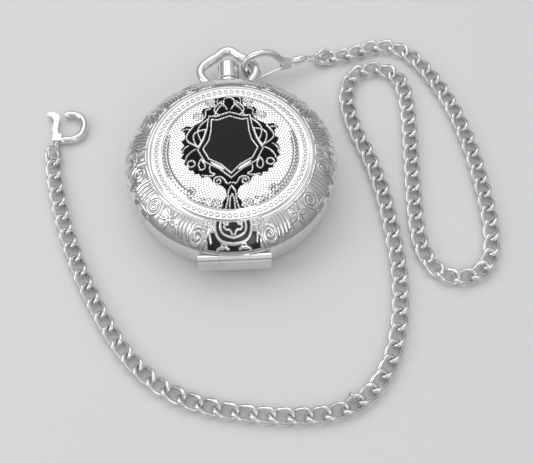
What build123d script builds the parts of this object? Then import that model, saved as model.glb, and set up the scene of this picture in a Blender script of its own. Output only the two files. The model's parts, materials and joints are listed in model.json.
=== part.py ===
"""Hunter-case pocket watch with a curb chain and two claw clasps.

Millimetres. +Z goes up through the cover, +Y to the crown, z = 0 is the case back's flat foot.
Every node is written closed and at rest, all in one frame.
"""
import os
from math import atan2, cos, degrees, hypot, radians, sin, sqrt

from build123d import *

os.makedirs("parts", exist_ok=True)

# ---------------------------------------------------------------- driving sizes
case_r = 23.0  # band, at its widest
lid_r = 23.5  # cover, at its edge
seam_z = 8.4  # top of the band, where the cover rests
closed_h = 14.0  # top of the closed cover
ornament_r = 17.4  # ring groove between the cover's centre and its border
ornament_z = 13.1
sheet = 0.7  # wall of the cover
bore_r = 20.6  # inside of the band
seam_gap = 0.06  # cover's rim above the band
run = 0.05  # radial clearance of a turning or sliding fit
air = 0.15  # clearance between pieces that pass each other

axis_z = 5.0  # crown, stem, neck and bow
neck_r = 3.1
neck_end_y = case_r + 1.9
crown_r = 2.6
crown_y = neck_end_y + 0.8
crown_end_y = crown_y + 5.3
pull = 0.9
push = 0.6
stem_r = 0.38
sleeve_r = 1.5

bow_wire = 2.4
bow_pivot_y = case_r + 1.3
bow_half = 6.65  # centreline, at the widest
bow_peak_y = bow_pivot_y + 10.9
bow_pin_r = 0.55

hinge_y = -23.3
hinge_z = 7.5
barrel_r = 1.15
hinge_pin_r = 0.45
hinge_w = 15.6
lid_knuckle_w = 6.4

dial_z = 7.25
dial_t = 0.35
dial_r = 20.2
plate_r = 11.6
plate_z0 = 5.4
plate_z1 = 6.6
bridge_z0 = 2.9
bridge_z1 = 3.5

link_pitch = 3.69
link_a = 2.5  # half length of a link's centreline
link_b = 1.55  # half width
link_c = 0.62  # how far the twist lifts it
link_wire = 0.88
chain_z = 1.1  # the chain's own line above the table
links_total = 96
chain_groups = 6

watch_hook = (6.4, bow_pivot_y + 5.7, axis_z)  # where the claw goes round the bow
claw_yaw = 15.4  # the claw's heading from the bow
claw_lean = 25.0  # its plane, away from upright
claw_wire = 1.7
gate_wire = 0.9
end_hook = (-38.0, 16.9, 1.35)  # middle of the end claw's opening


# ---------------------------------------------------------------- helpers
def save(name, *shapes):
    """One node: a single solid, or a group of separate ones."""
    solids = [s for shape in shapes for s in shape.solids()]
    export_step(solids[0] if len(solids) == 1 else Compound(children=solids), f"parts/{name}.step")


def turned(points):
    """A solid turned about Z from (radius, height) corners."""
    face = make_face(Polyline(*[(r, 0, z) for r, z in points], close=True))
    return revolve(face, Axis.Z)


def tube(r_out, r_in, z0, z1, x=0.0, y=0.0):
    ring = Circle(r_out) - Circle(r_in) if r_in > 0 else Circle(r_out)
    return extrude(Pos(x, y, z0) * ring, z1 - z0)


def rod_x(r, x0, x1, y, z, r_in=0.0):
    profile = Circle(r) - Circle(r_in) if r_in > 0 else Circle(r)
    return extrude(Plane((x0, y, z), x_dir=(0, 1, 0), z_dir=(1, 0, 0)) * profile, x1 - x0)


def rod_y(r, y0, y1, z, x=0.0, r_in=0.0):
    profile = Circle(r) - Circle(r_in) if r_in > 0 else Circle(r)
    return extrude(Plane((x, y0, z), x_dir=(1, 0, 0), z_dir=(0, 1, 0)) * profile, y1 - y0)


def block(x0, x1, y0, y1, z0, z1):
    mid = Pos((x0 + x1) / 2, (y0 + y1) / 2, (z0 + z1) / 2)
    return mid * Box(x1 - x0, y1 - y0, z1 - z0)


def wire_along(path, radius):
    """Round wire along a path edge or wire."""
    start = path @ 0
    return sweep(Plane(start, z_dir=path % 0) * Circle(radius), path=path)


def smooth_wire(stops):
    """Tangent arcs through ((x, y, z), direction) stops, two arcs to a side."""
    edges = []
    for (p0, t0), (p1, t1) in zip(stops, stops[1:]):
        p0, p1 = Vector(*p0), Vector(*p1)
        t0, t1 = Vector(*t0).normalized(), Vector(*t1).normalized()
        v, t = p1 - p0, t0 + t1
        square = 2 * (1 - t0.dot(t1))
        along = v.dot(t)
        reach = (-along + sqrt(along * along + square * v.dot(v))) / square if square > 1e-9 else v.dot(v) / (2 * along)
        q0, q1 = p0 + t0 * reach, p1 - t1 * reach
        middle = (q0 + q1) * 0.5
        edges.append(Edge.make_tangent_arc(p0, t0, middle))
        edges.append(Edge.make_tangent_arc(middle, q1 - q0, p1))
    return Wire(edges)


def ring(centre, major, wire, tilt=0.0, heading=0.0, pitch=0.0):
    """A round ring; tilt turns it about its own heading."""
    return Pos(*centre) * Rot(0, 0, heading) * Rot(0, pitch, 0) * Rot(tilt, 0, 0) * Torus(major, wire / 2)


def polar(radius, angle):
    return radius * cos(radians(angle)), radius * sin(radians(angle))


def gear(teeth, module, z0, z1, centre, bore, tooth_at):
    """A small spur wheel; one tooth is centred on the angle tooth_at."""
    pitch_r = teeth * module / 2
    step = 360 / teeth
    corners = []
    for i in range(teeth):
        a = tooth_at + i * step
        root, tip = pitch_r - 0.95 * module, pitch_r + 0.6 * module
        corners += [polar(root, a - 0.25 * step), polar(pitch_r, a - 0.19 * step)]
        corners += [polar(tip, a - 0.10 * step), polar(tip, a + 0.10 * step)]
        corners += [polar(pitch_r, a + 0.19 * step), polar(root, a + 0.25 * step)]
    face = make_face(Polyline(*corners, close=True))
    if bore > 0:
        face -= Circle(bore)
    return extrude(Pos(centre[0], centre[1], z0) * face, z1 - z0)


# ---------------------------------------------------------------- case
def band_body():
    profile = [
        (bore_r, 2.6),
        (22.3, 1.9),
        (22.7, 2.4),
        (case_r, 3.6),
        (case_r, 6.4),
        (case_r - 0.15, 7.6),
        (case_r - 0.15, seam_z),
        (21.3, seam_z),
        (21.3, 7.6),
        (bore_r, 7.6),
    ]
    return turned(profile)


knuckle_cut_r = barrel_r + air
half_w = hinge_w / 2
half_lid = lid_knuckle_w / 2
neck_bore_r = 2.2

band = band_body()
band += block(-half_w, half_w, -23.75, -22.2, 2.8, hinge_z)  # the block below the hinge
for side in (-1, 1):
    x_in, x_out = side * (half_lid + 0.1), side * half_w
    band += rod_x(barrel_r, min(x_in, x_out), max(x_in, x_out), hinge_y, hinge_z)
band -= rod_x(knuckle_cut_r, -half_lid - 0.1, half_lid + 0.1, hinge_y, hinge_z)
band -= rod_x(hinge_pin_r, -half_w - 1, half_w + 1, hinge_y, hinge_z)
band -= block(-half_lid - 0.1, half_lid + 0.1, -24, -21.6, 7.75, 9)
band -= rod_y(neck_bore_r, 19, case_r + 1.0, axis_z)
catch_w = 3.6
band -= block(-catch_w / 2 - 0.2, catch_w / 2 + 0.2, 19.8, 21.75, 1.8, seam_z + 1)
save("case_band", band)

back_profile = [
    (0, 0.3),
    (11.6, 0.3),
    (12.0, 0.0),
    (19.4, 0.0),
    (21.4, 0.7),
    (22.1, 1.3),
    (22.25, 1.85),
    (bore_r - 0.02, 2.55),
    (bore_r - 0.02, 3.1),
    (19.8, 3.1),
    (19.8, 1.5),
    (18.9, 0.9),
    (0, 1.1),
]
save("case_back", turned(back_profile) - block(-2.2, 2.2, 19.4, 21.0, 1.7, 3.4))

neck = rod_y(neck_bore_r, 21.8, case_r + 0.4, axis_z)
neck += rod_y(neck_r, case_r - 1.0, neck_end_y, axis_z)
neck += rod_y(neck_r + 0.1, case_r - 1.0, case_r + 0.9, axis_z)
for ring_y in (case_r + 0.35, case_r + 0.75):
    neck -= rod_y(neck_r + 1, ring_y - 0.08, ring_y + 0.08, axis_z, r_in=neck_r - 0.15)
neck -= tube(case_r + 0.01, 0, 0, 12) - rod_y(neck_bore_r, 19, case_r + 1.0, axis_z)
neck -= rod_y(sleeve_r + run, 19, neck_end_y + 2.1, axis_z)
neck -= rod_x(bow_pin_r + run, -4, 4, bow_pivot_y, axis_z) - rod_x(1, -2.2, 2.2, bow_pivot_y, axis_z)
save("pendant_neck", neck)

bezel = turned(
    [
        (21.2, 7.65),
        (21.2, 8.9),
        (20.6, 9.7),
        (19.5, 9.7),
        (19.5, 8.9),
        (18.7, 8.9),
        (18.7, 7.65),
    ]
)
bezel -= block(-catch_w / 2 - 0.2, catch_w / 2 + 0.2, 19.9, 22, 7, 10.5)
save("bezel", bezel)
save("crystal_gasket", tube(19.49, 18.75, 8.91, 9.1))
crystal_r = 19.45
crystal_profile = [(0, 9.12), (crystal_r, 9.12), (crystal_r, 10.0), (18.9, 10.25), (0, 10.4)]
save("crystal", turned(crystal_profile))
pin = rod_x(hinge_pin_r, -half_w, half_w, hinge_y, hinge_z)
save("hinge_pin", pin)


# ---------------------------------------------------------------- cover
def lid_body():
    rim = seam_z + seam_gap
    outer = Polyline((21.7, 0, rim), (lid_r - 0.15, 0, rim), (lid_r, 0, rim + 0.15), (lid_r, 0, rim + 0.5))
    border = ThreePointArc((lid_r, 0, rim + 0.5), (21.2, 0, 11.35), (ornament_r + 0.35, 0, ornament_z))
    groove = Polyline(
        (ornament_r + 0.35, 0, ornament_z),
        (ornament_r, 0, ornament_z - 0.15),
        (ornament_r - 0.2, 0, ornament_z + 0.15),
        (15.3, 0, ornament_z + 0.3),
        (15.15, 0, ornament_z + 0.15),
        (14.9, 0, ornament_z + 0.35),
    )
    crown_arc = ThreePointArc((14.9, 0, ornament_z + 0.35), (7.6, 0, closed_h - 0.15), (0, 0, closed_h))
    top = Line((0, 0, closed_h), (0, 0, closed_h - sheet))
    inner_dome = ThreePointArc((0, 0, closed_h - sheet), (9, 0, closed_h - sheet - 0.2), (17.2, 0, ornament_z - sheet))
    inner_side = ThreePointArc((17.2, 0, ornament_z - sheet), (20.6, 0, 10.9), (22.4, 0, 9.2))
    lip = Polyline((22.4, 0, 9.2), (22.4, 0, rim + 0.45), (21.7, 0, rim + 0.45), (21.7, 0, rim))
    loop = outer + border + groove + crown_arc + top + inner_dome + inner_side + lip
    return revolve(make_face(Wire(loop.edges())), Axis.Z)


lid = lid_body()
for side in (-1, 1):
    x0, x1 = sorted((side * (half_lid + 0.1), side * (half_w + 0.15)))
    lid -= rod_x(knuckle_cut_r, x0, x1, hinge_y, hinge_z)
lid += rod_x(barrel_r, -half_lid, half_lid, hinge_y, hinge_z)
lid += block(-half_lid, half_lid, hinge_y, -21.75, hinge_z + 0.4, seam_z + seam_gap + 0.4)
lid -= rod_x(hinge_pin_r + run, -half_w - 1, half_w + 1, hinge_y, hinge_z)


def shield_outline(grow):
    """The cartouche's outline: pointed top and bottom, hollow sides, flared lower corners."""
    k = grow
    right = [
        (0, 8.0 + k),
        (2.6, 7.0 + k),
        (3.9 + k, 7.2 + k),
        (4.1 + k, 4.0),
        (4.6 + k, 1.6),
        (5.9 + k, -0.6),
        (4.6 + k, -3.2 - k),
        (2.0 + k, -4.8 - k),
        (0, -7.0 - k),
    ]
    left = [(-x, y) for x, y in reversed(right[1:-1])]
    return make_face(Polyline(*[(x, y + 1.0) for x, y in right + left], close=True))


shield_floor = closed_h - 0.42
frame_block = extrude(Pos(0, 0, shield_floor) * shield_outline(0.75), 1.0)
frame_block -= extrude(Pos(0, 0, shield_floor) * shield_outline(0.0), 1.0)
frame_block &= turned([(0, 13), (20, 12.2), (14.9, 13.5), (0, closed_h + 0.2)])
lid -= extrude(Pos(0, 0, shield_floor) * shield_outline(0.0), 1.0)
lid += frame_block
save("lid_shell", lid)
plate = extrude(Pos(0, 0, shield_floor) * shield_outline(-0.02), 0.3)
save("shield_plate", plate)

# ---------------------------------------------------------------- catch
catch_nose_y = 21.62
catch = block(-catch_w / 2, catch_w / 2, 20.9, 21.6, 2.9, 9.3)
catch += block(-catch_w / 2, catch_w / 2, 20.9, catch_nose_y, 9.0, 9.4)
catch -= rod_y(stem_r + 0.45, 19, 24, axis_z)
catch = catch - block(-5, 5, 20.9, 22, 1, 2.9)
save("catch", catch)
save("pusher_sleeve", rod_y(sleeve_r, 21.6, crown_y + 0.25, axis_z, r_in=stem_r + 0.4))
leaf = tube(20.2, 19.95, 3.2, 3.9) & block(-9, 9, 10, 21, 0, 10)
leaf += block(-0.8, 0.8, 20.1, 20.9, 3.2, 3.9)
save("catch_spring", leaf)

# ---------------------------------------------------------------- stem and crown
stem_end_y = crown_end_y - 2.1
stem = rod_y(stem_r, 5.4, stem_end_y, axis_z)
stem += rod_y(0.8, stem_end_y - 1.7, stem_end_y, axis_z)
stem -= rod_y(stem_r + 0.1, 16.0, 16.5, axis_z, r_in=stem_r - 0.12)
save("stem", stem)

crown = rod_y(crown_r, crown_y, crown_end_y, axis_z)
crown = fillet(crown.edges().group_by(Axis.Y)[-1], 0.8)
crown = fillet(crown.edges().group_by(Axis.Y)[0].sort_by(SortBy.RADIUS)[-1:], 0.2)
crown -= rod_y(sleeve_r + 0.3, crown_y - 1, crown_y + 0.26, axis_z)
crown -= rod_y(0.8 + run, crown_y - 0.7, stem_end_y + run + push, axis_z)
save("crown", crown)

clutch = Plane((0, 6.6, axis_z), x_dir=(1, 0, 0), z_dir=(0, 1, 0)) * gear(14, 0.1, 0, 1.2, (0, 0), stem_r, 90)
save("clutch_wheel", clutch)

collar = rod_y(0.95, 16.05, 16.45, axis_z, r_in=stem_r - 0.12 + run)
save("setting_lever", collar)

# ---------------------------------------------------------------- movement
third_at = polar(4.08, 215)
fifth_at = polar(4.08, -50)
rotor_step = polar(2.4, -60)
rotor_at = (fifth_at[0] + rotor_step[0], fifth_at[1] + rotor_step[1])
minute_at = polar(2.8, 200)
battery_at = polar(7.6, 130)
pivot_r = 0.12
pivot_hole = pivot_r + run

holder = tube(20.0, plate_r + 0.02, 3.2, 6.6) - block(-2.4, 2.4, 15, 21, 2, 8)
holder -= rod_y(1.2, 11, 21, axis_z)
holder -= tube(20.4, 19.8, 3.1, 4.1)
save("movement_holder", holder)

plate = tube(plate_r, 0, plate_z0, plate_z1)
plate -= tube(0.43, 0, 5, 7)
for x, y in (third_at, fifth_at, rotor_at, minute_at):
    plate -= tube(pivot_hole, 0, plate_z0 - 1, plate_z1 - 0.3 if (x, y) != minute_at else 8, x, y)
plate -= block(-1.1, 1.1, 6.3, 9.2, plate_z0 - 0.2, 6.1)
plate -= rod_y(1.1, 10.6, 12, axis_z)
for angle in (70, 190, 330):
    x, y = polar(10.2, angle)
    plate += tube(0.8, 0, bridge_z1, plate_z0, x, y)
    plate -= tube(0.35, 0, 2.5, plate_z1 - 0.4, x, y)
save("main_plate", plate)

bridge = tube(plate_r - 0.1, 0, bridge_z0, bridge_z1)
bridge -= tube(3.4 + 0.2, 0, 2, 4, *battery_at)
bridge -= block(-4.9, 4.9, -10.4, -7.6, 2, 4)
for x, y in ((0, 0), third_at, fifth_at, rotor_at):
    bridge -= tube(pivot_hole, 0, 2, 4, x, y)
for angle in (70, 190, 330):
    bridge -= tube(0.35, 0, 2, 4, *polar(10.2, angle))
save("train_bridge", bridge)
screws = [
    tube(0.34, 0, 2.9, 5.6, *polar(10.2, a)) + tube(0.75, 0, 2.5, 2.9, *polar(10.2, a)) for a in (70, 190, 330)
]
slot = [block(x - 0.8, x + 0.8, y - 0.1, y + 0.1, 2.4, 2.65) for x, y in (polar(10.2, a) for a in (70, 190, 330))]
save("movement_screws", *[s - c for s, c in zip(screws, slot)])

board = tube(9.0, 0, 2.6, 2.88) & block(-9, 9, -9, -4.3, 2, 3)
board -= block(-4.9, 4.9, -10.4, -7.6, 2, 4)
board = board - tube(1.3, 0, 2, 3, *rotor_at)
save("circuit_board", board)
save("battery", tube(3.4, 0, 2.7, 5.25, *battery_at))
clamp = block(-1.0, 1.0, -4.6, 4.6, 2.45, 2.68) + block(-1.0, 1.0, 3.8, 4.6, 2.45, 2.89)
clamp += block(-1.0, 1.0, -4.6, -3.8, 2.45, 2.89)
save("battery_clamp", Pos(battery_at[0], battery_at[1], 0) * Rot(0, 0, 40) * clamp)
coil = rod_x(1.15, -4.0, 4.0, -9.0, 4.2, r_in=0.45)
save("coil_winding", coil)
core = rod_x(0.42, -4.4, 4.4, -9.0, 4.2)
core += block(-6.2, -4.3, -9.5, -8.3, 3.9, 4.6) + block(4.3, 6.2, -9.5, -8.3, 3.9, 4.6)
save("coil_core", core)
stator = block(-6.0, 7.0, -7.75, -3.9, 4.65, 5.1) - tube(1.0, 0, 4, 6, *rotor_at)
stator = stator & tube(10.5, 4.35, 4, 6)
stator += block(-6.2, -5.0, -9.5, -7.75, 4.61, 5.1) + block(5.0, 6.2, -9.5, -7.75, 4.61, 5.1)
save("stator", stator)


def arbor(centre, z0, z1, radius, pivot_low, pivot_high):
    """A wheel's arbor with a thin pivot below and above."""
    x, y = centre
    body = tube(radius, 0, z0, z1, x, y)
    return body + tube(pivot_r, 0, pivot_low, z0, x, y) + tube(pivot_r, 0, z1, pivot_high, x, y)


def facing(centre, other):
    return degrees(atan2(other[1] - centre[1], other[0] - centre[0]))


origin = (0.0, 0.0)
centre_module = 0.12
fourth_module = 4.08 * 2 / 72
fifth_module = 0.12
rotor_module = 0.12
motion_module = 0.14

fourth = gear(60, fifth_module, 3.75, 3.9, origin, 0, facing(origin, fifth_at))
fourth += gear(8, fourth_module, 4.18, 4.45, origin, 0, facing(origin, third_at) + 22.5)
fourth += tube(0.3, 0, 3.56, 4.6) + tube(pivot_r, 0, 3.0, 3.6) + tube(0.2, 0, 4.6, 8.75)
save("fourth_wheel", fourth)
centre = gear(60, centre_module, 4.78, 4.93, origin, 0.25, facing(origin, third_at))
centre += tube(0.38, 0.25, 4.7, 8.3) + gear(10, motion_module, 6.65, 6.82, origin, 0.3, facing(origin, minute_at))
save("centre_wheel", centre)
third = gear(64, fourth_module, 4.24, 4.39, third_at, 0, facing(third_at, origin))
third += gear(8, centre_module, 4.7, 5.0, third_at, 0, facing(third_at, origin) + 22.5)
third += arbor(third_at, 3.56, 5.3, 0.28, 3.0, 6.2)
save("third_wheel", third)
fifth = gear(32, rotor_module, 4.0, 4.14, fifth_at, 0, facing(fifth_at, rotor_at))
fifth += gear(8, fifth_module, 3.68, 3.97, fifth_at, 0, facing(fifth_at, origin) + 22.5)
fifth += arbor(fifth_at, 3.56, 5.3, 0.26, 3.0, 6.2)
save("fifth_wheel", fifth)
rotor = gear(8, rotor_module, 3.92, 4.22, rotor_at, 0, facing(rotor_at, fifth_at) + 22.5)
rotor += tube(0.78, 0, 4.5, 5.15, *rotor_at) + arbor(rotor_at, 3.56, 5.3, 0.26, 3.0, 6.2)
save("rotor", rotor)
minute = gear(30, motion_module, 6.65, 6.8, minute_at, 0, facing(minute_at, origin) + 6)
minute += gear(8, motion_module, 6.8, 7.1, minute_at, 0, facing(minute_at, origin))
minute += tube(pivot_r, 0, 6.0, 6.65, *minute_at)
save("minute_wheel", minute)
hour = gear(32, motion_module, 6.92, 7.08, origin, 0.43, facing(origin, minute_at) + 5.625)
hour += tube(0.75, 0.43, 6.9, 8.0)
save("hour_wheel", hour)

# ---------------------------------------------------------------- dial and hands
dial = tube(dial_r, 0.9, dial_z, dial_z + dial_t)
save("dial", dial)
markers = []
for hour_no in range(12):
    long = hour_no % 3 == 0
    bar = block(14.0 if long else 15.0, 17.2, -0.45 if long else -0.25, 0.45 if long else 0.25, 7.6, 7.75)
    markers.append(Rot(0, 0, 30 * hour_no) * bar)
save("dial_markers", *markers)


def hand(length, width, tail, z0, z1, bore):
    """A spade-shaped hand along +Y with its hub at the centre."""
    pts = [(-width / 2, 0), (-width / 3, length * 0.6), (-width, length * 0.7), (0, length)]
    pts += [(width, length * 0.7), (width / 3, length * 0.6), (width / 2, 0), (width / 2, -tail), (-width / 2, -tail)]
    body = extrude(Pos(0, 0, z0) * make_face(Polyline(*pts, close=True)), z1 - z0)
    body += tube(bore + 0.55, 0, z0, z1)
    return body - tube(bore, 0, z0 - 1, z1 + 1)


save("hour_hand", hand(10.5, 0.9, 2.0, 7.85, 8.0, 0.75))
save("minute_hand", hand(15.0, 0.7, 2.5, 8.15, 8.3, 0.38))
save("seconds_hand", hand(16.4, 0.25, 4.5, 8.6, 8.75, 0.2))


# ---------------------------------------------------------------- bow
def bow_body():
    stops = [
        ((4.6, bow_pivot_y, axis_z), (0.45, 1, 0)),
        ((bow_half, bow_pivot_y + 4.4, axis_z), (0, 1, 0)),
        ((3.4, bow_pivot_y + 8.6, axis_z), (-1, 0.62, 0)),
        ((0, bow_peak_y, axis_z), (-1, 0.12, 0)),
    ]
    half = wire_along(smooth_wire(stops), bow_wire / 2)
    half += Pos(4.6, bow_pivot_y, axis_z) * Sphere(bow_wire / 2)
    half += rod_x(bow_wire / 2, neck_r + air, 4.6, bow_pivot_y, axis_z)
    half += rod_x(bow_pin_r, 2.35, neck_r + 0.5, bow_pivot_y, axis_z)
    half -= block(-3, 0, 20, 40, 0, 10)
    return half + mirror(half, Plane.YZ)


save("bow", bow_body())


# ---------------------------------------------------------------- chain
route = [
    (24.0, 34.8),
    (30, 35.5),
    (37, 38.5),
    (43.5, 36.8),
    (48.5, 30),
    (53, 20),
    (56, 7),
    (57.4, -8),
    (57.3, -18.5),
    (55, -25),
    (49, -27.8),
    (43, -25),
    (40.7, -18),
    (41, -6),
    (42, 8),
    (42.8, 22),
    (41, 29),
    (36, 31.5),
    (30.5, 29.8),
    (28, 24),
    (28.6, 15),
    (33, 2),
    (35, -11),
    (36, -30),
    (32, -47),
    (22.5, -56.5),
    (8, -57),
    (-10, -53.5),
    (-22, -45),
    (-32, -27),
    (-38, -10),
    (-41, 4),
    (-41.3, 8.65),
]


def smooth(points, per=60):
    """The smooth line a route draws: parabolas between the middles of its sides."""
    knots = [points[0]]
    for a, b in zip(points[1:-2], points[2:-1]):
        knots.append(((a[0] + b[0]) / 2, (a[1] + b[1]) / 2))
    knots.append(points[-1])
    line = [points[0]]
    for start, corner, end in zip(knots, points[1:-1], knots[1:]):
        for i in range(1, per + 1):
            t = i / per
            u, v, w = (1 - t) ** 2, 2 * t * (1 - t), t * t
            line.append((u * start[0] + v * corner[0] + w * end[0], u * start[1] + v * corner[1] + w * end[1]))
    return line


def stations(line, count):
    """Equally spaced (x, y, heading in degrees) along a line, half a step in from each end."""
    runs = [0.0]
    for a, b in zip(line, line[1:]):
        runs.append(runs[-1] + hypot(b[0] - a[0], b[1] - a[1]))
    step = runs[-1] / count
    out = []
    k = 0
    for i in range(count):
        want = (i + 0.5) * step
        while runs[k + 1] < want:
            k += 1
        a, b = line[k], line[k + 1]
        t = (want - runs[k]) / (runs[k + 1] - runs[k])
        heading = degrees(atan2(b[1] - a[1], b[0] - a[0]))
        out.append((a[0] + t * (b[0] - a[0]), a[1] + t * (b[1] - a[1]), heading))
    return out


def curb_link():
    """A twisted link about its own centre, its length along X: two equal halves of tangent arcs."""
    stops = [
        ((link_a, 0, 0), (0, link_b, 2 * link_c)),
        ((0, link_b, 0), (-link_a, 0, -2 * link_c)),
        ((-link_a, 0, 0), (0, -link_b, 2 * link_c)),
    ]
    half = wire_along(smooth_wire(stops), link_wire / 2)
    return half + Rot(0, 0, 180) * half


link = curb_link()
places = stations(smooth(route), links_total)
per_group = links_total // chain_groups
for group in range(chain_groups):
    some = places[group * per_group : (group + 1) * per_group]
    save(f"chain_{group + 1}", *[Pos(x, y, chain_z) * Rot(0, 0, a) * link for x, y, a in some])


# ---------------------------------------------------------------- claw on the bow
claw_dir = (cos(radians(claw_yaw)), sin(radians(claw_yaw)), 0)
claw_normal = (
    sin(radians(claw_yaw)) * cos(radians(claw_lean)),
    -cos(radians(claw_yaw)) * cos(radians(claw_lean)),
    sin(radians(claw_lean)),
)
claw_plane = Plane(watch_hook, x_dir=claw_dir, z_dir=claw_normal)


def on_plane(plane, u, w, du, dw):
    """A smooth_wire stop from a plane's own coordinates."""
    at = plane.from_local_coords((u, w, 0))
    along = plane.x_dir * du + plane.y_dir * dw
    return (at.X, at.Y, at.Z), (along.X, along.Y, along.Z)


def on_claw(u, w, du, dw):
    return on_plane(claw_plane, u, w, du, dw)


claw_stops = [
    on_claw(9.2, -1.2, -1, 0.3),
    on_claw(2.4, 3.1, -1, 0.1),
    on_claw(-0.2, 3.05, -1, -0.2),
    on_claw(-2.45, 0.4, 0, -1),
    on_claw(-1.0, -2.35, 1, -0.35),
]
claw = wire_along(smooth_wire(claw_stops), claw_wire / 2)
pivot_u, pivot_w = 7.6, -1.75
claw += claw_plane * (Pos(pivot_u, pivot_w + 0.5, 0) * Box(2.4, 1.9, 2.0))
claw -= claw_plane * (Pos(pivot_u - 1, pivot_w - 0.2, 0) * Box(5.0, 1.8, gate_wire + 0.2))
claw -= claw_plane * (Pos(pivot_u, pivot_w, 0) * Cylinder(0.35, 4))
gate_tip_u, gate_tip_w = -0.6, -3.5
gate_len = hypot(pivot_u - gate_tip_u, pivot_w - gate_tip_w)
gate_turn = degrees(atan2(pivot_w - gate_tip_w, pivot_u - gate_tip_u))
gate = Pos((pivot_u + gate_tip_u) / 2, (pivot_w + gate_tip_w) / 2, 0) * Rot(0, 0, gate_turn)
gate = gate * Rot(0, 90, 0) * Cylinder(gate_wire / 2, gate_len)
gate += Pos(pivot_u, pivot_w, 0) * Cylinder(0.66, gate_wire + 0.08)
gate = claw_plane * (gate - Pos(pivot_u, pivot_w, 0) * Cylinder(0.35 + run, 4))
save("watch_gate", gate)
save("watch_gate_pin", claw_plane * (Pos(pivot_u, pivot_w, 0) * Cylinder(0.35, 2.0)))


def along_claw(s, z, side):
    x, y = watch_hook[0] + s * claw_dir[0], watch_hook[1] + s * claw_dir[1]
    return x - side * claw_dir[1], y + side * claw_dir[0], z


swivel_z = watch_hook[2] - 1.2 * cos(radians(claw_lean))
swivel_off = -1.2 * sin(radians(claw_lean))
swivel_at = Pos(watch_hook[0], watch_hook[1], swivel_z) * Rot(0, 0, claw_yaw)
claw -= swivel_at * rod_x(0.45 + run, 8.75, 10.5, swivel_off, 0)
save("watch_claw", claw)
barrel = rod_x(1.2, 9.75, 11.3, swivel_off, 0) + rod_x(0.45, 8.8, 9.8, swivel_off, 0)
barrel += Pos(12.0, swivel_off, 0) * Rot(90, 0, 0) * Torus(0.95, 0.3)
barrel = swivel_at * barrel
save("watch_swivel", barrel)

eye_half_len, eye_half_w, eye_wire = 2.42, 1.05, 0.56
eye_bend = eye_half_len - eye_half_w
eye_stops = [
    ((eye_bend, eye_half_w, 0), (1, 0, 0)),
    ((eye_half_len, 0, 0), (0, -1, 0)),
    ((eye_bend, -eye_half_w, 0), (-1, 0, 0)),
]
eye_half = wire_along(smooth_wire(eye_stops), eye_wire / 2)
eye_half += rod_x(eye_wire / 2, 0, eye_bend, eye_half_w, 0) + rod_x(eye_wire / 2, 0, eye_bend, -eye_half_w, 0)
eye_link = eye_half + mirror(eye_half, Plane.YZ)
eye_mid = along_claw(14.42, 2.8, -0.2)
save("swivel_link", Pos(*eye_mid) * Rot(0, 0, claw_yaw + 5) * Rot(0, 20, 0) * Rot(-15, 0, 0) * eye_link)
save("chain_ring", ring(along_claw(17.6, 2.0, 0), 1.7, 0.9, tilt=60, heading=claw_yaw))

# ---------------------------------------------------------------- extra ring on the chain
ring_at = min(places, key=lambda place: hypot(place[0] - 24.5, place[1] + 54.6))
side_x = ring_at[0] + link_b * sin(radians(ring_at[2]))
side_y = ring_at[1] - link_b * cos(radians(ring_at[2]))
save("spare_ring", ring((side_x, side_y, chain_z + 0.2), 1.0, 0.55, tilt=90, heading=ring_at[2] + 90))

# ---------------------------------------------------------------- claw at the free end
end_plane = Plane(end_hook, x_dir=(1, 0, 0), z_dir=(0, 0, 1))


def on_end(u, w, du, dw):
    return on_plane(end_plane, u, w, du, dw)


end_wire = 1.7
end_stops = [
    on_end(-1.9, -4.0, 1, 0.5),
    on_end(1.4, -3.4, 1, 0.35),
    on_end(3.5, 0.2, 0, 1),
    on_end(0.2, 3.7, -1, 0),
    on_end(-1.3, 3.35, -1, -0.45),
]
end_claw = wire_along(smooth_wire(end_stops), end_wire / 2)
end_pivot = (-2.6, -3.3)
end_claw += end_plane * (Pos(-2.6, -3.6, 0) * Box(2.0, 1.9, 2.4))
end_claw += end_plane * (Pos(-2.7, -5.15, 0) * Rot(0, 90, 0) * Torus(1.0, 0.33))
end_claw -= end_plane * (Pos(-2.8, -2.9, 0) * Box(3.4, 2.3, 1.2 + 0.2))
end_claw -= end_plane * (Pos(*end_pivot, 0) * Cylinder(0.35, 4))
save("end_claw", end_claw)
lever = [(-3.15, -3.3), (-3.95, -1.0), (-3.6, 1.6), (-4.3, 2.9), (-5.4, 3.3), (-5.2, 4.1), (-3.9, 4.2)]
lever += [(-2.75, 3.3), (-2.35, 2.5), (-2.6, 0.6), (-2.75, -1.0), (-2.05, -3.3)]
end_gate = extrude(end_plane.offset(-0.6) * make_face(Polyline(*lever, close=True)), 1.2)
end_gate += end_plane * (Pos(*end_pivot, 0) * Cylinder(0.65, 1.2))
end_gate -= end_plane * (Pos(*end_pivot, 0) * Cylinder(0.35 + run, 4))
save("end_gate", end_gate)
save("end_gate_pin", end_plane * (Pos(*end_pivot, 0) * Cylinder(0.35, 2.4)))
last = places[-1]
save("end_ring", ring((last[0] - 0.1, last[1] + 2.2, 2.0), 1.2, 0.6, tilt=30, heading=90))
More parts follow.
